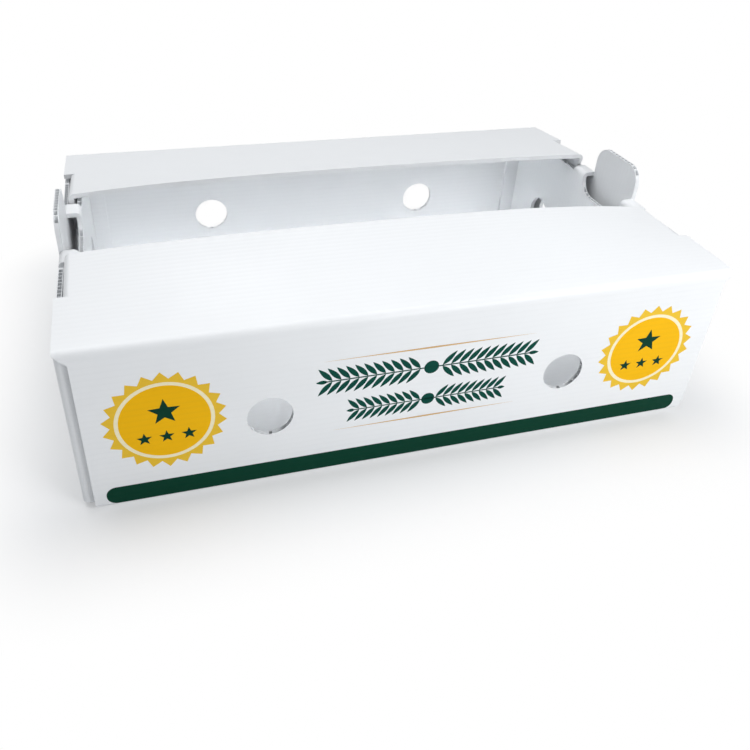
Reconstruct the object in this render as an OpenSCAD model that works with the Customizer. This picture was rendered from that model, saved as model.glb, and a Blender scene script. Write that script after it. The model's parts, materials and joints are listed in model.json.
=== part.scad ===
/* [Board] */
// Thickness of the twin-wall fluted board
board_t = 4.5; // [3:0.5:6]
// Thickness of each outer skin of the board
skin_t = 0.6; // [0.4:0.1:0.9]
// Thickness of the ribs between the flutes
rib_t = 0.7; // [0.4:0.1:1.2]
// Distance from one flute to the next
flute_pitch = 5.8; // [4:0.1:8]
// Length of board on each side of a fold or edge where the flutes are pressed shut
crush = 1.5; // [1:0.5:3]
// Depth of the open flutes behind the cut edges of the floor and the end walls
flute_depth = 30; // [10:1:60]

/* [Body] */
// Outer length of the box
box_l = 600; // [450:5:700]
// Outer width of the box
box_w = 400; // [380:5:500]
// Height of the box from the floor's underside to the top of the flaps
body_h = 165; // [130:5:260]
// Inside radius of the fold between the floor and the walls
base_fold_r = 1.5; // [0.5:0.5:4]
// Inside radius of the soft fold between a long wall and its top flap
flap_fold_r = 3.5; // [2:0.5:6]
// Distance from the end of the box to the side edge of a long wall
wall_inset = 10; // [7:0.5:16]
// Height, below the crease, over which a long wall widens to its top flap's length
shoulder_h = 9; // [6:0.5:16]

/* [End walls] */
// Inside radius of the folds at both edges of the top strip
strip_fold_r = 1; // [0.5:0.5:2]
// Gap between the top strip's ends and the two top flaps
strip_gap = 2; // [1:0.5:5]
// Gap under the lower edge of the inner panel
inner_panel_gap = 0.5; // [0.3:0.1:2]
// Gap between the side edges of the inner panel and the corner flaps
inner_panel_side_gap = 1; // [0.5:0.5:4]

/* [Corner flaps] */
// Reach of a corner flap along the long wall, from the end of the box
corner_flap_l = 35; // [26:1:90]
// Inside radius of the upright fold at a corner
corner_fold_r = 1; // [0.5:0.5:3]
// Distance from the top of the box to the top edge of a corner flap
corner_flap_drop = 10; // [9:1:30]

/* [Top flaps] */
// Depth of a top flap, from the long wall's face to its inner edge
flap_d = 138; // [120:1:142]
// Depth of the wide part of a top flap, which lies over the end walls
flap_wide_d = 74; // [50:1:90]
// Angle at which a closed flap springs up from level
flap_spring_angle = 6; // [0:0.5:10]
// Gap between the end wall and a flap pressed level
flap_rest_gap = 0.3; // [0.2:0.1:1]
// Inside radius of the fold between a top flap and its tuck flap
tuck_fold_r = 1; // [0.5:0.5:2]
// Gap between a tuck flap and the outer panel of the end wall
tuck_outer_gap = 2; // [1:0.5:4]
// Gap between a tuck flap and the inner panel of the end wall
tuck_inner_gap = 2.5; // [1:0.5:4]
// Reach of a tuck flap below the top of the box
tuck_h = 45; // [25:1:60]
// Slant of the side of a tuck flap nearest the free edge of its top flap
tuck_slant = 18; // [6:1:24]

/* [Vent holes] */
// Diameter of the vent holes
vent_d = 40; // [20:1:50]
// Height of the centres of the vent holes
vent_z = 75; // [50:1:80]
// Distance of the long walls' vent holes from the middle of the box
vent_x = 139; // [80:1:190]
// Distance of the end walls' vent holes from the middle of the box
end_vent_y = 118; // [85:1:128]

/* [Stacking ears] */
// Width of a stacking ear
ear_w = 76; // [50:1:88]
// Height of a stacking ear above the top flaps
ear_h = 33; // [25:1:50]
// Corner radius of a stacking ear
ear_r = 18; // [6:1:22]
// Gap round the ear of the box below, in the notch that takes it
notch_gap = 2; // [1:0.5:4]

/* [Hidden] */
$fn = 64;
half_l = box_l / 2;
half_w = box_w / 2;
// Reach of a cut past the surface that it opens
cut_over = 1;
// Angle in section at which a top fold is parted, in its middle, between the wall and the flap
fold_parting = 135;
cell_w = flute_pitch - rib_t;
cell_h = board_t - 2 * skin_t;
// Outside radii of the folds
base_r = base_fold_r + board_t;
flap_r = flap_fold_r + board_t;
strip_r = strip_fold_r + board_t;
corner_r = corner_fold_r + board_t;
tuck_r = tuck_fold_r + board_t;
crease_z = body_h - flap_r + flap_r * sin(fold_parting);
// Planes of the end wall, from the outside in: outer panel, tuck flap, inner panel
outer_panel_x = half_l - board_t;
tuck_x = outer_panel_x - tuck_outer_gap;
inner_panel_x = tuck_x - board_t - tuck_inner_gap;
inner_face_x = inner_panel_x - board_t;
// Top edges of the end wall's panels, below the top flaps and below the strip's folds
end_top_z = body_h - board_t - flap_rest_gap;
strip_fold_z = body_h - strip_r;
strip_y = half_w - flap_d - strip_gap;
// The flaps' side edges step in here
wide_y = half_w - flap_wide_d;
// The corner flaps lie against the insides of the long walls
corner_y = half_w - board_t;
end_flat_y = corner_y - corner_r;
inner_panel_y = corner_y - board_t - inner_panel_side_gap;
// An ear is cut from the strip and the inner panel, and its hole is as long as it is:
// what the hole doesn't use of that length across the strip, it goes down the panel
ear_hole_z = body_h - ear_h + outer_panel_x - inner_panel_x;
corner_top_z = body_h - corner_flap_drop;
// Beyond the long walls' side edges, the corners reach up to the inside of the top folds
corner_edge_z = body_h - flap_r + flap_fold_r * sin(fold_parting) - flap_rest_gap;
notch_w = ear_w + 2 * notch_gap;
notch_h = ear_h + notch_gap;

// A bent stretch of board in section, about the origin, from angle a0 to a1
module bend(outer_r, a0, a1) {
    reach = 2 * outer_r;
    middle = (a0 + a1) / 2;
    intersection() {
        difference() {
            circle(r = outer_r);
            circle(r = outer_r - board_t);
        }
        polygon([
            [0, 0],
            [reach * cos(a0), reach * sin(a0)],
            [reach * cos(middle), reach * sin(middle)],
            [reach * cos(a1), reach * sin(a1)]
        ]);
    }
}

// Flutes in section: a row of cells along X from u0 to u1, centred on v = 0
module cells(u0, u1) {
    count = floor((u1 - u0) / flute_pitch);
    start = (u0 + u1 - count * flute_pitch + rib_t) / 2;
    for (i = [0 : 1 : count - 1])
        translate([start + i * flute_pitch, -cell_h / 2])
            square([cell_w, cell_h]);
}

// Upright flutes in a row along Y, in a board whose outer face is at x
module upright_flutes(x, y0, y1, z0, z1) {
    translate([x - board_t / 2, 0, z0])
        linear_extrude(z1 - z0)
            rotate(90)
                cells(y0, y1);
}

// Stands a section drawn in Y and Z up, and extrudes it along X
module along_x(x0, x1) {
    translate([x0, 0, 0])
        rotate([90, 0, 90])
            linear_extrude(x1 - x0)
                children();
}

// Stands a section drawn in X and Z up, and extrudes it along Y
module along_y(y0, y1) {
    translate([0, y1, 0])
        rotate([90, 0, 0])
            linear_extrude(y1 - y0)
                children();
}

// Front long wall in section, from the floor to the middle of the top fold
module long_wall_section() {
    translate([-half_w + base_r, base_r])
        bend(base_r, 180, 270);
    difference() {
        translate([-half_w, base_r])
            square([board_t, body_h - flap_r - base_r]);
        translate([-half_w + board_t / 2, 0])
            rotate(90)
                cells(base_r + crush, body_h - flap_r - crush);
    }
    translate([-half_w + flap_r, body_h - flap_r])
        bend(flap_r, fold_parting, 180);
}

// Front long wall, cut in at both side edges up to the slanted shoulders below its flap
module long_wall() {
    edge_x = half_l - wall_inset;
    difference() {
        along_x(-half_l, half_l)
            long_wall_section();
        for (side = [0, 1])
            mirror([side, 0, 0]) {
                translate([vent_x, -half_w + board_t + cut_over, vent_z])
                    rotate([90, 0, 0])
                        cylinder(d = vent_d, h = board_t + 2 * cut_over);
                along_y(-half_w - cut_over, -half_w + flap_r)
                    polygon([
                        [edge_x, -cut_over],
                        [half_l + cut_over, -cut_over],
                        [half_l + cut_over, crease_z],
                        [half_l, crease_z],
                        [edge_x, crease_z - shoulder_h]
                    ]);
            }
    }
}

// The floor's flutes show only where the stacking notches cut its ends
module floor_panel() {
    floor_l = half_l - base_r;
    difference() {
        translate([-floor_l, -end_flat_y, 0])
            cube([2 * floor_l, 2 * end_flat_y, board_t]);
        for (side = [0, 1])
            mirror([side, 0, 0])
                along_x(floor_l - flute_depth, floor_l + cut_over)
                    translate([0, board_t / 2])
                        cells(-notch_w / 2 + crush, notch_w / 2 - crush);
    }
    for (side = [0, 1])
        mirror([0, side, 0])
            translate([-half_l + wall_inset, end_flat_y, 0])
                cube([box_l - 2 * wall_inset, half_w - base_r - end_flat_y, board_t]);
}

// Outline of an ear, or of its notch, in Y and Z: two upright sides and a rounded top
module ear_outline(width, z0, z1, r) {
    translate([-width / 2, z0])
        square([width, z1 - z0 - r]);
    translate([-width / 2 + r, z0])
        square([width - 2 * r, z1 - z0]);
    for (side = [-1, 1])
        translate([side * (width / 2 - r), z1 - r])
            circle(r = r);
}

// Corner flap at the back right corner, with the upright fold that joins it to the end wall
module corner_flap() {
    flap_x = half_l - corner_flap_l;
    edge_x = half_l - wall_inset;
    flat_end_x = half_l - corner_r;
    translate([0, 0, base_r])
        linear_extrude(corner_edge_z - base_r) {
            translate([flat_end_x, end_flat_y])
                bend(corner_r, 0, 90);
            translate([edge_x, corner_y - board_t])
                square([flat_end_x - edge_x, board_t]);
        }
    difference() {
        translate([flap_x, corner_y - board_t, base_r])
            cube([edge_x - flap_x, board_t, corner_top_z - base_r]);
        translate([0, corner_y - board_t / 2, corner_top_z - flute_depth])
            linear_extrude(flute_depth + cut_over)
                cells(flap_x + crush, edge_x - crush);
    }
}

// Outer panel with its bottom fold, and inner panel, both up to the top flaps
module end_panels() {
    panel_z = board_t + inner_panel_gap;
    along_y(-end_flat_y, end_flat_y)
        translate([half_l - base_r, base_r])
            bend(base_r, 270, 360);
    translate([outer_panel_x, -end_flat_y, base_r])
        cube([board_t, 2 * end_flat_y, end_top_z - base_r]);
    translate([inner_face_x, -inner_panel_y, panel_z])
        cube([board_t, 2 * inner_panel_y, end_top_z - panel_z]);
}

// Top strip with the two folds that carry it over to the inner panel, in X and Z
module roll_over_section() {
    translate([half_l - strip_r, strip_fold_z])
        bend(strip_r, 0, 90);
    translate([inner_face_x + strip_r, body_h - board_t])
        square([half_l - inner_face_x - 2 * strip_r, board_t]);
    translate([inner_face_x + strip_r, strip_fold_z])
        bend(strip_r, 90, 180);
}

// Flutes behind the cut edges of both panels: round the ear, its hole and the notch,
// and along the tops beside the narrow parts of the flaps
module end_wall_flutes() {
    ear_y = ear_w / 2 - crush;
    ear_top_z = body_h + ear_h;
    top_z = end_top_z - flute_depth;
    upright_flutes(half_l, -ear_y, ear_y, ear_top_z - flute_depth, ear_top_z + cut_over);
    upright_flutes(half_l, -ear_y, ear_y, notch_h - ear_r, notch_h + flute_depth);
    upright_flutes(inner_panel_x, -ear_y, ear_y, ear_hole_z - flute_depth, body_h);
    for (side = [0, 1])
        mirror([0, side, 0]) {
            upright_flutes(half_l, strip_y + crush, wide_y - crush, top_z, body_h);
            upright_flutes(inner_panel_x, strip_y + crush, wide_y - crush, top_z, body_h);
        }
}

// Right end wall: one sheet, up the outside, over the strip and down the inside
module end_wall() {
    difference() {
        union() {
            difference() {
                end_panels();
                translate([inner_face_x - cut_over, -strip_y, strip_fold_z])
                    cube([half_l - inner_face_x + 2 * cut_over, 2 * strip_y, board_t]);
            }
            along_y(-strip_y, strip_y)
                roll_over_section();
            along_x(outer_panel_x, half_l)
                ear_outline(ear_w, strip_fold_z, body_h + ear_h, ear_r);
        }
        // The ear's own hole, over the strip and down the inner panel
        along_x(inner_face_x - cut_over, outer_panel_x)
            mirror([0, 1, 0])
                ear_outline(ear_w, -body_h - cut_over, -ear_hole_z, ear_r);
        // The notch at the foot, for the ear of the box below
        along_x(half_l - base_r, half_l + cut_over)
            ear_outline(notch_w, -cut_over, notch_h, ear_r + notch_gap);
        end_wall_flutes();
        for (side = [-1, 1])
            translate([inner_face_x - cut_over, side * end_vent_y, vent_z])
                rotate([0, 90, 0])
                    cylinder(d = vent_d, h = half_l - inner_face_x + 2 * cut_over);
    }
    for (side = [0, 1])
        mirror([0, side, 0])
            corner_flap();
}

// The folded sheet: floor, long walls, and double end walls with their ears
module tray() {
    color("whitesmoke") {
        floor_panel();
        for (side = [0, 1]) {
            mirror([0, side, 0])
                long_wall();
            mirror([side, 0, 0])
                end_wall();
        }
    }
}

// Right tuck flap, turned down from the end of the narrow part of a top flap
module tuck_flap() {
    y0 = -wide_y + flap_rest_gap;
    y1 = -half_w + flap_d;
    fold_z = body_h - tuck_r;
    edge_z = body_h - tuck_h;
    along_y(y0, y1)
        translate([tuck_x - tuck_r, fold_z])
            bend(tuck_r, 0, 90);
    difference() {
        along_x(tuck_x - board_t, tuck_x)
            polygon([[y0, fold_z], [y0, edge_z], [y1 - tuck_slant, edge_z], [y1, fold_z]]);
        upright_flutes(tuck_x, y0 + crush, y1 - crush, edge_z - cut_over, fold_z - crush);
    }
}

// Top flap of the front wall as it lies when pressed level, from the middle of its fold
// to its free edge
module level_flap() {
    fold_y = -half_w + flap_r;
    flat_l = tuck_x - tuck_r;
    along_x(-half_l, half_l) {
        translate([fold_y, body_h - flap_r])
            bend(flap_r, 90, fold_parting - flap_spring_angle);
        difference() {
            translate([fold_y, body_h - board_t])
                square([-wide_y - fold_y, board_t]);
            translate([0, body_h - board_t / 2])
                cells(fold_y + crush, -wide_y - crush);
        }
    }
    translate([-flat_l, -wide_y, body_h - board_t])
        cube([2 * flat_l, flap_d - flap_wide_d, board_t]);
    for (side = [0, 1])
        mirror([side, 0, 0])
            tuck_flap();
}

// The same flap as the fold holds it, sprung up about the fold's centre
module top_flap() {
    translate([0, -half_w + flap_r, body_h - flap_r])
        rotate([flap_spring_angle, 0, 0])
            translate([0, half_w - flap_r, -body_h + flap_r])
                level_flap();
}

module front_flap() {
    color("white")
        top_flap();
}

module back_flap() {
    color("white")
        mirror([0, 1, 0])
            top_flap();
}

tray();
front_flap();
back_flap();
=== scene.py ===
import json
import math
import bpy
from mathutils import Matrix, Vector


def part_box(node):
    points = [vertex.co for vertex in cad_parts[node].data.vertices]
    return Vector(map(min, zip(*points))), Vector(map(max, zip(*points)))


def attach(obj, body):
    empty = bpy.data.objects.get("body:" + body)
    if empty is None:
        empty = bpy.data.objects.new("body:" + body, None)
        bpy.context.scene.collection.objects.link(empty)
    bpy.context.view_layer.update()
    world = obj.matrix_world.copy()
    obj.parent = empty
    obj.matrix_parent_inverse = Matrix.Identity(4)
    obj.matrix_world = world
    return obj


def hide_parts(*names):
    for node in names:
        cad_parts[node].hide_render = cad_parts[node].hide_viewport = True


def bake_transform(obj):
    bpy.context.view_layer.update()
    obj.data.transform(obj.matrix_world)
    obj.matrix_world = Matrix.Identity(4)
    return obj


bl_info = {
    "name": "Fluted Produce Box",
    "version": (1, 0, 0),
    "blender": (4, 5, 0),
    "location": "View3D > Sidebar > Produce Box",
    "description": "Boards, folds, print and studio of a folded fluted-plastic produce box",
    "category": "Object",
}

import bmesh
import bpy
from bpy.props import FloatProperty, FloatVectorProperty, IntProperty, PointerProperty
from bpy.types import Operator, Panel, PropertyGroup
from mathutils import Matrix, Vector

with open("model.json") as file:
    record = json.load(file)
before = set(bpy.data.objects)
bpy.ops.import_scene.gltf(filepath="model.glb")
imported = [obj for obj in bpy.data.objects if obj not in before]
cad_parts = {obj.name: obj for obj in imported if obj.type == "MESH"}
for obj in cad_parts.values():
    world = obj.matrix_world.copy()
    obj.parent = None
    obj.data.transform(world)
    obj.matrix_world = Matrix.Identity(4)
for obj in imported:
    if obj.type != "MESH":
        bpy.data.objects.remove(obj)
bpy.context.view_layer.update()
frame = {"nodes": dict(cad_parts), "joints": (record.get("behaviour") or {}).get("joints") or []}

# The box as the frame gives it, in metres: its tray, its hinges and its two flaps
TRAY_LOW, TRAY_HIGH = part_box("tray")
HINGES = {joint["child"]: Vector(joint["pos_m"]) for joint in frame["joints"]}
FLAP_BODIES = ("front_flap", "back_flap")
FRONT_Y = TRAY_LOW.y
HALF_L = TRAY_HIGH.x

MM = 0.001
# Thickness of one printed layer, thick enough to render cleanly over the board
INK_FILM = 0.06 * MM
# How far a bending strip stands out of the board on both sides
HINGE_PROUD = 0.15 * MM
# Radii in a seal, as shares of its own: valleys between rays, then the ring's outer and inner edge
RAY_VALLEY = 0.865
RING_OUTER = 0.8
RING_INNER = 0.735
# Radius of the valleys between a star's points, as a share of its own
STAR_VALLEY = 0.42


class BoardSettings(PropertyGroup):
    """Sizes and colours of the folded board."""

    color: FloatVectorProperty(
        name="Board colour",
        description="Colour of the white polypropylene board",
        subtype="COLOR",
        default=(0.90, 0.915, 0.93),
        min=0,
        max=1,
    )
    flute_pitch: FloatProperty(
        name="Flute pitch",
        description="Distance between the faint lines that the ribs draw on the skins",
        default=5.8 * MM,
        unit="LENGTH",
    )
    thickness: FloatProperty(
        name="Board thickness",
        description="Thickness of the board",
        default=4.5 * MM,
        unit="LENGTH",
    )
    fold_radius: FloatProperty(
        name="Top fold radius",
        description="Outside radius of the fold between a long wall and its top flap",
        default=8 * MM,
        unit="LENGTH",
    )
    hinge_inset: FloatProperty(
        name="Hinge inset",
        description="Distance from the end of the box to the end of a top fold's bending stretch",
        default=4 * MM,
        unit="LENGTH",
    )
    front_rise: FloatVectorProperty(
        name="Front flap rise",
        description="How far the front flap's free edge springs up: left end, middle, right end",
        default=(9 * MM, 15 * MM, 1 * MM),
        unit="LENGTH",
    )
    back_rise: FloatVectorProperty(
        name="Back flap rise",
        description="How far the back flap's free edge springs up: left end, middle, right end",
        default=(8 * MM, 16 * MM, 12 * MM),
        unit="LENGTH",
    )


class PrintSettings(PropertyGroup):
    """Sizes and colours of what is printed on the front wall."""

    green: FloatVectorProperty(
        name="Stripe green",
        description="Dark green of the stripe",
        subtype="COLOR",
        default=(0.001, 0.046, 0.025),
        min=0,
        max=1,
    )
    leaf_green: FloatVectorProperty(
        name="Leaf green",
        description="Blue-green of the two leaf garlands",
        subtype="COLOR",
        default=(0.002, 0.066, 0.047),
        min=0,
        max=1,
    )
    gold: FloatVectorProperty(
        name="Rule gold",
        description="Pale gold of the two thin rules",
        subtype="COLOR",
        default=(0.66, 0.43, 0.19),
        min=0,
        max=1,
    )
    seal_yellow: FloatVectorProperty(
        name="Seal yellow",
        description="Golden yellow of the seals' discs",
        subtype="COLOR",
        default=(0.96, 0.52, 0.006),
        min=0,
        max=1,
    )
    ray_yellow: FloatVectorProperty(
        name="Ray yellow",
        description="Paler yellow of the seals' rays",
        subtype="COLOR",
        default=(0.88, 0.56, 0.045),
        min=0,
        max=1,
    )
    ring_cream: FloatVectorProperty(
        name="Ring cream",
        description="Cream of the ring round each seal's disc",
        subtype="COLOR",
        default=(0.98, 0.90, 0.62),
        min=0,
        max=1,
    )
    stripe_half_length: FloatProperty(
        name="Stripe half length",
        description="Half the length of the green stripe",
        default=280 * MM,
        unit="LENGTH",
    )
    stripe_bottom: FloatProperty(
        name="Stripe bottom",
        description="Height of the stripe's lower edge",
        default=4.2 * MM,
        unit="LENGTH",
    )
    stripe_height: FloatProperty(
        name="Stripe height",
        description="Height of the green stripe",
        default=18.5 * MM,
        unit="LENGTH",
    )
    stripe_corner: FloatProperty(
        name="Stripe corner",
        description="Corner radius of the green stripe",
        default=8.5 * MM,
        unit="LENGTH",
    )
    seal_x: FloatProperty(
        name="Seal distance",
        description="Distance of each seal's centre from the middle of the wall",
        default=225 * MM,
        unit="LENGTH",
    )
    seal_z: FloatProperty(
        name="Seal height",
        description="Height of the seals' centres",
        default=87 * MM,
        unit="LENGTH",
    )
    seal_radius: FloatProperty(
        name="Seal radius",
        description="Radius of a seal to the tips of its rays",
        default=50 * MM,
        unit="LENGTH",
    )
    seal_rays: IntProperty(
        name="Seal rays",
        description="Number of rays round each seal",
        default=22,
        min=8,
        max=60,
    )


class StageSettings(PropertyGroup):
    """Camera, lamps and floor."""

    camera_place: FloatVectorProperty(
        name="Camera place",
        description="Where the photograph was taken from, worked out from the box's corners",
        default=(-0.22298, -0.67212, 0.49665),
        unit="LENGTH",
    )
    camera_turn: FloatVectorProperty(
        name="Camera turn",
        description="Turn of the camera about X, Y and Z",
        subtype="EULER",
        default=(math.radians(56.841), math.radians(-2.319), math.radians(-15.735)),
    )
    camera_lens: FloatProperty(
        name="Lens",
        description="Focal length of the camera in millimetres",
        default=35.68,
    )
    camera_shift: FloatVectorProperty(
        name="Camera shift",
        description="Shift of the picture, because the photograph is cropped off its lens's centre",
        size=2,
        default=(0.0381, -0.0867),
    )
    key_power: FloatProperty(
        name="Key lamp",
        description="Power of the soft lamp at the front right",
        default=5.1,
    )
    fill_power: FloatProperty(
        name="Fill lamp",
        description="Power of the large soft lamp overhead",
        default=17,
    )
    mouth_power: FloatProperty(
        name="Mouth lamp",
        description="Power of the narrow lamp that shines in through the mouth",
        default=7.5,
    )
    white_from: FloatProperty(
        name="White from",
        description="Distance from the box at which the floor has faded to plain white",
        default=0.13,
        unit="LENGTH",
    )
    sky: FloatProperty(
        name="Room light",
        description="Strength of the even light of the room",
        default=0.31,
    )


def add_node(tree, kind, place=(0, 0), **values):
    """Adds a shader node, sets its properties, and returns it."""
    node = tree.nodes.new(kind)
    node.location = place
    for name, value in values.items():
        setattr(node, name, value)
    return node


def add_math(tree, operation, first, second=None, place=(0, 0), clamp=False):
    """Adds a Math node whose inputs are numbers or other sockets, and returns its output."""
    node = add_node(tree, "ShaderNodeMath", place, operation=operation, use_clamp=clamp)
    for socket, value in zip(node.inputs, (first, second)):
        if value is None:
            continue
        if isinstance(value, (int, float)):
            socket.default_value = value
        else:
            tree.links.new(value, socket)
    return node.outputs[0]


def new_group(name, inputs, outputs):
    """Makes a shader node group with named sockets. Returns the group, its input and its output."""
    group = bpy.data.node_groups.new(name, "ShaderNodeTree")
    for socket_name, socket_type, default in inputs:
        socket = group.interface.new_socket(socket_name, in_out="INPUT", socket_type=socket_type)
        socket.default_value = default
    for socket_name, socket_type in outputs:
        group.interface.new_socket(socket_name, in_out="OUTPUT", socket_type=socket_type)
    inner = add_node(group, "NodeGroupInput", (-1200, 0))
    outer = add_node(group, "NodeGroupOutput", (900, 0))
    return group, inner, outer


def flute_line_group():
    """The ribs' faint lines: along X on walls and flaps, and upright on the end walls."""
    group, inner, outer = new_group(
        "Flute Lines",
        [("Pitch", "NodeSocketFloat", 0.005), ("Seed", "NodeSocketFloat", 0.0)],
        [("Height", "NodeSocketFloat"), ("Rib", "NodeSocketFloat")],
    )
    links = group.links
    place = add_node(group, "ShaderNodeTexCoord", (-1200, 300))
    split = add_node(group, "ShaderNodeSeparateXYZ", (-1000, 300))
    links.new(place.outputs["Object"], split.inputs[0])
    facing = add_node(group, "ShaderNodeSeparateXYZ", (-1000, 100))
    links.new(place.outputs["Normal"], facing.inputs[0])
    # Walls that face front or back carry their lines at heights, all others across the width
    side = add_math(group, "ABSOLUTE", facing.outputs["Y"], place=(-800, 100))
    on_wall = add_math(group, "GREATER_THAN", side, 0.7, (-600, 100))
    across = add_node(group, "ShaderNodeMix", (-400, 200), data_type="FLOAT")
    links.new(on_wall, across.inputs["Factor"])
    links.new(split.outputs["Y"], across.inputs["A"])
    links.new(split.outputs["Z"], across.inputs["B"])
    turns = add_math(group, "DIVIDE", across.outputs["Result"], inner.outputs["Pitch"], (-200, 200))
    # The ribs' places wander a little along their length
    stretch = add_node(group, "ShaderNodeMapping", (-800, -200))
    stretch.inputs["Scale"].default_value = (3, 40, 40)
    links.new(place.outputs["Object"], stretch.inputs["Vector"])
    wander = add_node(group, "ShaderNodeTexNoise", (-600, -200), noise_dimensions="4D")
    wander.inputs["Scale"].default_value = 1
    links.new(stretch.outputs[0], wander.inputs["Vector"])
    links.new(inner.outputs["Seed"], wander.inputs["W"])
    shifted = add_math(group, "MULTIPLY", wander.outputs["Fac"], 0.25, (-400, -100))
    phase = add_math(group, "ADD", turns, shifted, (0, 200))
    angle = add_math(group, "MULTIPLY", phase, math.tau, (100, 200))
    wave = add_math(group, "COSINE", angle, place=(200, 200))
    height = add_math(group, "MULTIPLY_ADD", wave, 0.5, (400, 200))
    height.node.inputs[2].default_value = 0.5
    rib = add_math(group, "POWER", height, 3.0, (600, 100))
    # Some ribs show more than others
    strength = add_math(group, "MULTIPLY", rib, wander.outputs["Fac"], (700, 0))
    links.new(height, outer.inputs["Height"])
    links.new(strength, outer.inputs["Rib"])
    return group


def handling_group():
    """Soft clouding and fine scuffs from handling: two masks over the surface."""
    group, inner, outer = new_group(
        "Handling Marks",
        [("Scale", "NodeSocketFloat", 1.0)],
        [("Clouding", "NodeSocketFloat"), ("Scuffs", "NodeSocketFloat"), ("Wobble", "NodeSocketFloat")],
    )
    links = group.links
    place = add_node(group, "ShaderNodeTexCoord", (-1200, 0))
    sized = add_node(group, "ShaderNodeVectorMath", (-1000, 0), operation="SCALE")
    links.new(place.outputs["Object"], sized.inputs[0])
    links.new(inner.outputs["Scale"], sized.inputs["Scale"])
    clouds = add_node(group, "ShaderNodeTexNoise", (-700, 300))
    clouds.inputs["Scale"].default_value = 7
    clouds.inputs["Detail"].default_value = 5
    links.new(sized.outputs[0], clouds.inputs["Vector"])
    clouding = add_node(group, "ShaderNodeMapRange", (-400, 300))
    clouding.inputs["From Min"].default_value = 0.38
    clouding.inputs["From Max"].default_value = 0.72
    links.new(clouds.outputs["Fac"], clouding.inputs["Value"])
    # Scuffs are long thin scratches, thinned out by a slower noise
    long_way = add_node(group, "ShaderNodeMapping", (-900, -100))
    long_way.inputs["Scale"].default_value = (6, 60, 90)
    long_way.inputs["Rotation"].default_value = (0.2, 0.35, 0.3)
    links.new(sized.outputs[0], long_way.inputs["Vector"])
    scratches = add_node(group, "ShaderNodeTexNoise", (-700, -100))
    scratches.inputs["Scale"].default_value = 3
    scratches.inputs["Detail"].default_value = 6
    links.new(long_way.outputs[0], scratches.inputs["Vector"])
    thin = add_node(group, "ShaderNodeMapRange", (-400, -100))
    thin.inputs["From Min"].default_value = 0.62
    thin.inputs["From Max"].default_value = 0.74
    links.new(scratches.outputs["Fac"], thin.inputs["Value"])
    scuffs = add_math(group, "MULTIPLY", thin.outputs[0], clouding.outputs[0], (-100, 0))
    wobble = add_node(group, "ShaderNodeTexNoise", (-700, -400))
    wobble.inputs["Scale"].default_value = 4
    wobble.inputs["Detail"].default_value = 1
    links.new(sized.outputs[0], wobble.inputs["Vector"])
    links.new(clouding.outputs[0], outer.inputs["Clouding"])
    links.new(scuffs, outer.inputs["Scuffs"])
    links.new(wobble.outputs["Fac"], outer.inputs["Wobble"])
    return group


def shared_group(name, make):
    """The shader node group of that name, made at its first use."""
    return bpy.data.node_groups.get(name) or make()


def mix_colors(tree, factor, first, second, place):
    """Mixes two colours, each a plain colour or a socket, by a factor. Returns the result's socket."""
    node = add_node(tree, "ShaderNodeMix", place, data_type="RGBA")
    tree.links.new(factor, node.inputs["Factor"])
    for socket, value in ((node.inputs[6], first), (node.inputs[7], second)):
        if hasattr(value, "is_linked"):
            tree.links.new(value, socket)
        else:
            socket.default_value = (*value[:3], 1)
    return node.outputs[2]


def sheet_material(name, color, shade, roughness, shine, seed=0.0):
    """A skin of the fluted board, bare or printed, with ribs, clouding, scuffs and its own shine."""
    board = bpy.context.scene.produce_board
    material = bpy.data.materials.new(name)
    material.use_nodes = True
    material.diffuse_color = (*color[:3], 1)
    tree = material.node_tree
    links = tree.links
    skin = tree.nodes["Principled BSDF"]
    skin.inputs["IOR"].default_value = 1.49
    skin.inputs["Specular IOR Level"].default_value = shine
    flutes = add_node(tree, "ShaderNodeGroup", (-1100, 0))
    flutes.node_tree = shared_group("Flute Lines", flute_line_group)
    flutes.inputs["Pitch"].default_value = board.flute_pitch
    flutes.inputs["Seed"].default_value = seed
    marks = add_node(tree, "ShaderNodeGroup", (-1100, -300))
    marks.node_tree = shared_group("Handling Marks", handling_group)
    marks.inputs["Scale"].default_value = 1 + seed * 0.13
    clouding = add_math(tree, "MULTIPLY", marks.outputs["Clouding"], 0.35, (-800, -200))
    clouded = mix_colors(tree, clouding, color, shade, (-600, 200))
    rib = add_math(tree, "MULTIPLY", flutes.outputs["Rib"], 0.26, (-800, 0))
    ribbed = mix_colors(tree, rib, clouded, shade, (-400, 200))
    scuff = add_math(tree, "MULTIPLY", marks.outputs["Scuffs"], 0.12, (-600, 0))
    scuffed = mix_colors(tree, scuff, ribbed, tuple(0.8 * c for c in shade), (-200, 200))
    links.new(scuffed, skin.inputs["Base Color"])
    handled = add_math(tree, "MULTIPLY_ADD", marks.outputs["Clouding"], 0.12, (-600, -200))
    handled.node.inputs[2].default_value = roughness
    scraped = add_math(tree, "MULTIPLY_ADD", marks.outputs["Scuffs"], 0.2, (-400, -200))
    links.new(handled, scraped.node.inputs[2])
    links.new(scraped, skin.inputs["Roughness"])
    wave = add_node(tree, "ShaderNodeBump", (-400, -500))
    wave.inputs["Strength"].default_value = 0.25
    wave.inputs["Distance"].default_value = 1.5 * MM
    links.new(marks.outputs["Wobble"], wave.inputs["Height"])
    lines = add_node(tree, "ShaderNodeBump", (-200, -500))
    lines.inputs["Strength"].default_value = 0.5
    lines.inputs["Distance"].default_value = 0.1 * MM
    links.new(flutes.outputs["Height"], lines.inputs["Height"])
    links.new(wave.outputs[0], lines.inputs["Normal"])
    links.new(lines.outputs[0], skin.inputs["Normal"])
    return material


def board_material():
    """White fluted polypropylene, made once."""
    found = bpy.data.materials.get("white_fluted_board")
    if found:
        return found
    color = bpy.context.scene.produce_board.color
    shade = tuple(0.9 * c for c in color)
    return sheet_material("white_fluted_board", color, shade, roughness=0.36, shine=0.5)


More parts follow.
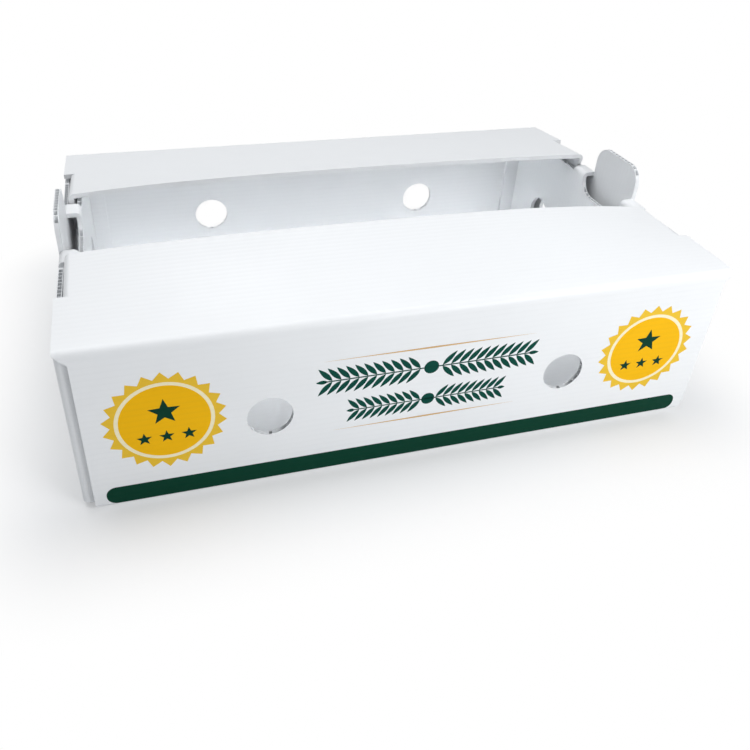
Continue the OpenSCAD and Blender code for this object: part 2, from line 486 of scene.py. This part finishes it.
def ink_material(name, color, seed):
    """Ink on the same board: it dulls the skin, and the ribs show through it."""
    found = bpy.data.materials.get(name)
    if found:
        return found
    shade = tuple(min(1.0, 0.82 * c + 0.006) for c in color)
    return sheet_material(name, color, shade, roughness=0.5, shine=0.06, seed=seed)


def place_piece(name, mesh_data, material, body):
    """Turns a bmesh into a piece at the origin that rides on a body, or on none yet."""
    mesh = bpy.data.meshes.new(name)
    mesh_data.to_mesh(mesh)
    mesh_data.free()
    mesh.materials.append(material)
    piece = bpy.data.objects.new(name, mesh)
    bpy.context.scene.collection.objects.link(piece)
    if body:
        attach(piece, body)
    return piece


def free_edge_rise(share, rise):
    """Rise of a flap's free edge at a share of the half length, flat in the middle and bent at the ends."""
    left, middle, right = rise
    end = left if share < 0 else right
    return middle - (middle - end) * min(abs(share), 1.0) ** 3


def cut_across(shape, axis, places):
    """Cuts the mesh by planes across an axis, so that it can bow between them."""
    normal = Vector((0, 0, 0))
    normal[axis] = 1
    for place in places:
        point = Vector((0, 0, 0))
        point[axis] = place
        geometry = shape.verts[:] + shape.edges[:] + shape.faces[:]
        bmesh.ops.bisect_plane(shape, geom=geometry, dist=1e-6, plane_co=point, plane_no=normal)


def sprung_flap(node_name, rise):
    """A top flap as its solid has it, sprung up along its free edge as thin board does."""
    node = frame["nodes"][node_name]
    hinge = HINGES[node_name]
    low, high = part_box(node_name)
    fold_top = hinge.z + bpy.context.scene.produce_board.fold_radius * (1 - math.sqrt(0.5))
    inward = 1 if hinge.y < 0 else -1
    depth = high.y - low.y
    solid_rise = high.z - fold_top
    shape = bmesh.new()
    shape.from_mesh(node.data)
    bmesh.ops.remove_doubles(shape, verts=shape.verts, dist=1e-6)
    bmesh.ops.dissolve_limit(shape, angle_limit=math.radians(0.3), verts=shape.verts, edges=shape.edges)
    columns, rows = 48, 10
    cut_across(shape, 0, [low.x + (high.x - low.x) * i / columns for i in range(1, columns)])
    cut_across(shape, 1, [low.y + depth * i / rows for i in range(1, rows)])
    for vert in shape.verts:
        reach = max(0.0, (vert.co.y - hinge.y) * inward) / depth
        target = free_edge_rise(vert.co.x / HALF_L, rise)
        vert.co.z += (target - solid_rise) * reach
    piece = place_piece(f"{node_name}_board", shape, board_material(), node_name)
    piece.data.shade_smooth()
    piece.data.set_sharp_from_angle(angle=math.radians(30))
    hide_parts(node_name)
    return piece


def living_hinge(body, name):
    """The stretch of board in a top fold, which bends between the wall and the flap."""
    board = bpy.context.scene.produce_board
    hinge = HINGES[body]
    inward = 1 if hinge.y < 0 else -1
    # The fold's centre lies straight inside the crease, one radius away
    slope = Vector((0, inward, -1)).normalized()
    centre = hinge + slope * board.fold_radius
    outer = board.fold_radius + HINGE_PROUD
    inner = board.fold_radius - board.thickness - HINGE_PROUD
    half_angle = math.radians(32)
    half_length = HALF_L - board.hinge_inset
    shape = bmesh.new()
    corners = []
    for along, radius in ((-1, inner), (1, inner), (1, outer), (-1, outer)):
        corners.append(shape.verts.new(centre - slope * radius + Vector((along * half_length, 0, 0))))
    face = shape.faces.new(corners)
    turn = Matrix.Rotation(-half_angle * inward, 3, "X")
    bmesh.ops.rotate(shape, verts=shape.verts, cent=centre, matrix=turn)
    bmesh.ops.spin(
        shape,
        geom=[face] + list(face.edges) + list(face.verts),
        cent=centre,
        axis=(1, 0, 0),
        angle=2 * half_angle * inward,
        steps=32,
        use_merge=False,
    )
    bmesh.ops.recalc_face_normals(shape, faces=shape.faces)
    piece = place_piece(name, shape, board_material(), None)
    piece.data.shade_smooth()
    piece.data.set_sharp_from_angle(angle=math.radians(40))
    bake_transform(piece)
    return piece


def lay_on_front(shape, x, z, layer):
    """Gives a flat print drawn in X and Y its film thickness, and lays it on the front wall."""
    film = INK_FILM * layer
    bmesh.ops.recalc_face_normals(shape, faces=shape.faces)
    grown = bmesh.ops.extrude_face_region(shape, geom=shape.faces[:])
    new_verts = [item for item in grown["geom"] if isinstance(item, bmesh.types.BMVert)]
    bmesh.ops.translate(shape, verts=new_verts, vec=(0, 0, film))
    stand = Matrix.Rotation(math.radians(90), 3, "X")
    bmesh.ops.rotate(shape, verts=shape.verts, cent=(0, 0, 0), matrix=stand)
    bmesh.ops.translate(shape, verts=shape.verts, vec=(x, FRONT_Y, z))
    bmesh.ops.recalc_face_normals(shape, faces=shape.faces)


def rounded_bar(half_length, half_height, radius):
    """A bar drawn in X and Y, with rounded corners."""
    shape = bmesh.new()
    bmesh.ops.create_grid(shape, x_segments=1, y_segments=1, size=1)
    bmesh.ops.scale(shape, verts=shape.verts, vec=(half_length, half_height, 1))
    bmesh.ops.bevel(
        shape,
        geom=shape.verts[:],
        offset=radius,
        offset_type="OFFSET",
        segments=8,
        profile=0.5,
        affect="VERTICES",
        material=-1,
    )
    return shape


def tapered_rule(half_length, half_height):
    """A thin rule drawn in X and Y, tapering to nothing at both ends."""
    shape = bmesh.new()
    bmesh.ops.create_circle(shape, cap_ends=True, segments=4, radius=1)
    bmesh.ops.scale(shape, verts=shape.verts, vec=(half_length, half_height, 1))
    return shape


def sunburst(radius, rays, valley):
    """A disc with pointed rays: a circle whose every second corner is drawn in."""
    shape = bmesh.new()
    made = bmesh.ops.create_circle(shape, cap_ends=True, segments=2 * rays, radius=radius)
    inner = made["verts"][1::2]
    bmesh.ops.scale(shape, verts=inner, vec=(valley, valley, 1))
    return shape


def disc(radius):
    """A flat disc, drawn in X and Y."""
    shape = bmesh.new()
    bmesh.ops.create_circle(shape, cap_ends=True, segments=96, radius=radius)
    return shape


def add_leaf(shape, place, length, width, angle):
    """Adds a pointed leaf with its stalk end at place, drawn in X and Y."""
    made = bmesh.ops.create_circle(shape, cap_ends=True, segments=20, radius=0.5)
    verts = made["verts"]
    for vert in verts:
        along = 2 * vert.co.x
        vert.co.y *= (1 - along * along) ** 0.45 * (1 - 0.25 * along)
    bmesh.ops.translate(shape, verts=verts, vec=(0.5, 0, 0))
    bmesh.ops.scale(shape, verts=verts, vec=(length, width, 1))
    bmesh.ops.rotate(shape, verts=verts, cent=(0, 0, 0), matrix=Matrix.Rotation(angle, 3, "Z"))
    bmesh.ops.translate(shape, verts=verts, vec=(*place, 0))


def add_dot(shape, place, radius):
    """Adds a round berry at place, drawn in X and Y."""
    made = bmesh.ops.create_circle(shape, cap_ends=True, segments=20, radius=radius)
    bmesh.ops.translate(shape, verts=made["verts"], vec=(*place, 0))


def leaf_garland(half_length, half_height, pairs):
    """A garland of leaf pairs that runs out both ways from a round fruit in its middle."""
    shape = bmesh.new()
    stem_half = 0.045 * half_height
    stem = bmesh.ops.create_grid(shape, x_segments=1, y_segments=1, size=1)["verts"]
    bmesh.ops.scale(shape, verts=stem, vec=(0.93 * half_length, stem_half, 1))
    add_dot(shape, (0, 0), 0.5 * half_height)
    step = 0.84 * half_length / pairs
    leaf_angle = math.radians(48)
    leaf_length = 0.98 * half_height / math.sin(leaf_angle)
    for way in (-1, 1):
        for i in range(pairs):
            x = way * (0.1 * half_length + i * step)
            for up in (-1, 1):
                angle = up * leaf_angle if way > 0 else math.pi - up * leaf_angle
                add_leaf(shape, (x, up * stem_half), leaf_length, 0.62 * step, angle)
        tip = 0 if way > 0 else math.pi
        add_leaf(shape, (way * 0.9 * half_length, 0), 0.1 * half_length, 0.5 * step, tip)
    return shape


def star(radius, x=0.0, y=0.0, shape=None):
    """A plain five-pointed star, drawn in X and Y."""
    shape = shape or bmesh.new()
    made = bmesh.ops.create_circle(shape, cap_ends=True, segments=10, radius=radius)
    verts = made["verts"]
    bmesh.ops.scale(shape, verts=verts[1::2], vec=(STAR_VALLEY, STAR_VALLEY, 1))
    bmesh.ops.translate(shape, verts=verts, vec=(x, y, 0))
    return shape


class PRODUCE_OT_finish_tray(Operator):
    """Gives the folded tray its white fluted board"""

    bl_idname = "produce.finish_tray"
    bl_label = "Finish Tray"

    def execute(self, context):
        for slot in frame["nodes"]["tray"].material_slots:
            slot.material = board_material()
        return {"FINISHED"}


class PRODUCE_OT_make_flaps(Operator):
    """Makes both top flaps, sprung up along their free edges"""

    bl_idname = "produce.make_flaps"
    bl_label = "Make Top Flaps"

    def execute(self, context):
        board = context.scene.produce_board
        for node_name, rise in zip(FLAP_BODIES, (board.front_rise, board.back_rise)):
            sprung_flap(node_name, rise)
        return {"FINISHED"}


class PRODUCE_OT_make_hinges(Operator):
    """Makes the bending stretch of board in the fold of each top flap"""

    bl_idname = "produce.make_hinges"
    bl_label = "Make Living Hinges"

    def execute(self, context):
        for body in FLAP_BODIES:
            living_hinge(body, body.replace("flap", "living_hinge"))
        return {"FINISHED"}


class PRODUCE_OT_print_bands(Operator):
    """Prints the green stripe and the two gold rules on the front wall"""

    bl_idname = "produce.print_bands"
    bl_label = "Print Bands"

    def execute(self, context):
        ink = context.scene.produce_print
        half_height = ink.stripe_height / 2
        stripe = rounded_bar(ink.stripe_half_length, half_height, ink.stripe_corner)
        lay_on_front(stripe, 0, ink.stripe_bottom + half_height, layer=1)
        place_piece("green_stripe", stripe, ink_material("green_ink", ink.green, 1), "tray")
        rules = (("upper_rule", 4, 125, 98), ("lower_rule", 4, 48, 88))
        for name, x, z, half_length in rules:
            rule = tapered_rule(half_length * MM, 0.9 * MM)
            lay_on_front(rule, x * MM, z * MM, layer=1)
            place_piece(name, rule, ink_material("gold_ink", ink.gold, 2), "tray")
        return {"FINISHED"}


class PRODUCE_OT_print_seals(Operator):
    """Prints a sunburst seal at each end of the front wall"""

    bl_idname = "produce.print_seals"
    bl_label = "Print Seals"

    def execute(self, context):
        ink = context.scene.produce_print
        radius = ink.seal_radius
        for side, where in (("left", -ink.seal_x), ("right", ink.seal_x)):
            stars = star(0.27 * radius, 0, 0.2 * radius)
            for x in (-0.36, 0, 0.36):
                star(0.13 * radius, x * radius, -0.32 * radius, stars)
            layers = (
                ("rays", sunburst(radius, ink.seal_rays, RAY_VALLEY), "ray_ink", ink.ray_yellow),
                ("ring", disc(RING_OUTER * radius), "cream_ink", ink.ring_cream),
                ("disc", disc(RING_INNER * radius), "seal_ink", ink.seal_yellow),
                ("stars", stars, "dark_ink", ink.green),
            )
            for layer, (part, shape, ink_name, color) in enumerate(layers, 1):
                lay_on_front(shape, where, ink.seal_z, layer)
                place_piece(f"{side}_seal_{part}", shape, ink_material(ink_name, color, 3), "tray")
        return {"FINISHED"}


class PRODUCE_OT_print_garlands(Operator):
    """Prints two rows of leaves in the middle of the front wall"""

    bl_idname = "produce.print_garlands"
    bl_label = "Print Leaf Garlands"

    def execute(self, context):
        ink = context.scene.produce_print
        rows = (("upper_garland", 104, 14, 103.5, 11), ("lower_garland", 76, 12.5, 68, 9))
        for name, half_length, half_height, z, pairs in rows:
            shape = leaf_garland(half_length * MM, half_height * MM, pairs)
            lay_on_front(shape, 4 * MM, z * MM, layer=1)
            place_piece(name, shape, ink_material("leaf_ink", ink.leaf_green, 4), "tray")
        return {"FINISHED"}


def floor_material(white_from):
    """A pale floor with the box's shadow, which fades to plain white at a distance from the box."""
    material = bpy.data.materials.new("pale_floor")
    material.use_nodes = True
    tree = material.node_tree
    tree.nodes.clear()
    links = tree.links
    output = add_node(tree, "ShaderNodeOutputMaterial", (600, 0))
    matte = add_node(tree, "ShaderNodeBsdfDiffuse", (0, 100))
    matte.inputs["Color"].default_value = (0.86, 0.87, 0.88, 1)
    white = add_node(tree, "ShaderNodeEmission", (0, -100))
    white.inputs["Strength"].default_value = 1
    place = add_node(tree, "ShaderNodeTexCoord", (-1400, 0))
    # Distance from the box's footprint
    folded = add_node(tree, "ShaderNodeVectorMath", (-1200, 0), operation="ABSOLUTE")
    links.new(place.outputs["Object"], folded.inputs[0])
    beyond = add_node(tree, "ShaderNodeVectorMath", (-1000, 0), operation="SUBTRACT")
    beyond.inputs[1].default_value = (TRAY_HIGH.x, TRAY_HIGH.y, 0)
    links.new(folded.outputs[0], beyond.inputs[0])
    outside = add_node(tree, "ShaderNodeVectorMath", (-800, 0), operation="MAXIMUM")
    links.new(beyond.outputs[0], outside.inputs[0])
    distance = add_node(tree, "ShaderNodeVectorMath", (-600, 0), operation="LENGTH")
    links.new(outside.outputs[0], distance.inputs[0])
    fade = add_node(tree, "ShaderNodeMapRange", (-400, 0), interpolation_type="SMOOTHSTEP")
    fade.inputs["From Max"].default_value = white_from
    fade.inputs["To Min"].default_value = 0.3
    links.new(distance.outputs["Value"], fade.inputs["Value"])
    path = add_node(tree, "ShaderNodeLightPath", (-400, 300))
    by_camera = path.outputs["Is Camera Ray"]
    in_gloss = path.outputs["Is Glossy Ray"]
    seen = add_math(tree, "MAXIMUM", by_camera, in_gloss, (-200, 300))
    factor = add_math(tree, "MULTIPLY", fade.outputs[0], seen, (-200, 100))
    mix = add_node(tree, "ShaderNodeMixShader", (300, 0))
    links.new(factor, mix.inputs[0])
    links.new(matte.outputs[0], mix.inputs[1])
    links.new(white.outputs[0], mix.inputs[2])
    links.new(mix.outputs[0], output.inputs["Surface"])
    return material


def light_room(settings):
    """Even light from all round, seen by the camera as plain white."""
    world = bpy.data.worlds.new("studio")
    bpy.context.scene.world = world
    world.use_nodes = True
    tree = world.node_tree
    tree.nodes.clear()
    links = tree.links
    output = add_node(tree, "ShaderNodeOutputWorld", (600, 0))
    room = add_node(tree, "ShaderNodeBackground", (0, 100))
    room.inputs["Color"].default_value = (0.93, 0.96, 1.0, 1)
    room.inputs["Strength"].default_value = settings.sky
    plain = add_node(tree, "ShaderNodeBackground", (0, -100))
    plain.inputs["Color"].default_value = (1, 1, 1, 1)
    path = add_node(tree, "ShaderNodeLightPath", (-400, 300))
    mix = add_node(tree, "ShaderNodeMixShader", (300, 0))
    links.new(path.outputs["Is Camera Ray"], mix.inputs[0])
    links.new(room.outputs[0], mix.inputs[1])
    links.new(plain.outputs[0], mix.inputs[2])
    links.new(mix.outputs[0], output.inputs["Surface"])


def add_lamp(name, power, size, place, target=(0, 0, 0.08)):
    """A soft rectangular lamp at a place, turned to a target."""
    lamp = bpy.data.lights.new(name, "AREA")
    lamp.energy = power
    lamp.shape = "RECTANGLE"
    lamp.size, lamp.size_y = size
    holder = bpy.data.objects.new(name, lamp)
    bpy.context.scene.collection.objects.link(holder)
    holder.location = place
    holder.rotation_mode = "QUATERNION"
    holder.rotation_quaternion = (Vector(target) - Vector(place)).to_track_quat("-Z", "Y")
    return holder


class PRODUCE_OT_set_stage(Operator):
    """Sets the camera, the lamps, the room light and the floor"""

    bl_idname = "produce.set_stage"
    bl_label = "Set Stage"

    def execute(self, context):
        settings = context.scene.produce_stage
        context.scene.view_settings.view_transform = "Standard"
        camera = bpy.data.cameras.new("photo_camera")
        camera.lens = settings.camera_lens
        camera.sensor_width = 36
        camera.shift_x, camera.shift_y = settings.camera_shift
        camera.clip_start = 0.01
        holder = bpy.data.objects.new("photo_camera", camera)
        context.scene.collection.objects.link(holder)
        holder.location = settings.camera_place
        holder.rotation_euler = settings.camera_turn
        context.scene.camera = holder
        light_room(settings)
        add_lamp("key_lamp", settings.key_power, (0.5, 0.5), (0.46, -0.84, 0.62))
        add_lamp("top_lamp", settings.fill_power, (1.4, 1.4), (-0.2, 0.45, 1.6))
        # This one shines in through the mouth from over the front wall, so that the inside isn't dark
        mouth = add_lamp("mouth_lamp", settings.mouth_power, (0.5, 0.02), (0, -0.62, 0.85), (0, 0, 0.178))
        mouth.data.spread = math.radians(4)
        ground = bmesh.new()
        bmesh.ops.create_grid(ground, x_segments=1, y_segments=1, size=6)
        mesh = bpy.data.meshes.new("floor")
        ground.to_mesh(mesh)
        ground.free()
        mesh.materials.append(floor_material(settings.white_from))
        floor = bpy.data.objects.new("floor", mesh)
        context.scene.collection.objects.link(floor)
        return {"FINISHED"}


class PRODUCE_PT_panel(Panel):
    """Lists the box's pieces, sizes and colours"""

    bl_label = "Produce Box"
    bl_idname = "PRODUCE_PT_panel"
    bl_space_type = "VIEW_3D"
    bl_region_type = "UI"
    bl_category = "Produce Box"

    def draw(self, context):
        layout = self.layout
        for step in STEPS:
            layout.operator(step.bl_idname)
        for name in SETTINGS:
            group = getattr(context.scene, name)
            box = layout.box()
            for field in group.bl_rna.properties:
                if field.identifier not in {"rna_type", "name"}:
                    box.prop(group, field.identifier)


SETTINGS = {
    "produce_board": BoardSettings,
    "produce_print": PrintSettings,
    "produce_stage": StageSettings,
}
STEPS = (
    PRODUCE_OT_set_stage,
    PRODUCE_OT_finish_tray,
    PRODUCE_OT_make_flaps,
    PRODUCE_OT_make_hinges,
    PRODUCE_OT_print_bands,
    PRODUCE_OT_print_seals,
    PRODUCE_OT_print_garlands,
)


def register():
    for kind in (*SETTINGS.values(), *STEPS, PRODUCE_PT_panel):
        bpy.utils.register_class(kind)
    for name, kind in SETTINGS.items():
        setattr(bpy.types.Scene, name, PointerProperty(type=kind))


def unregister():
    for name in SETTINGS:
        delattr(bpy.types.Scene, name)
    for kind in reversed((*SETTINGS.values(), *STEPS, PRODUCE_PT_panel)):
        bpy.utils.unregister_class(kind)


def main():
    """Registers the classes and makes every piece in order."""
    register()
    for step in STEPS:
        area, name = step.bl_idname.split(".")
        getattr(getattr(bpy.ops, area), name)()


if __name__ == "__main__":
    main()
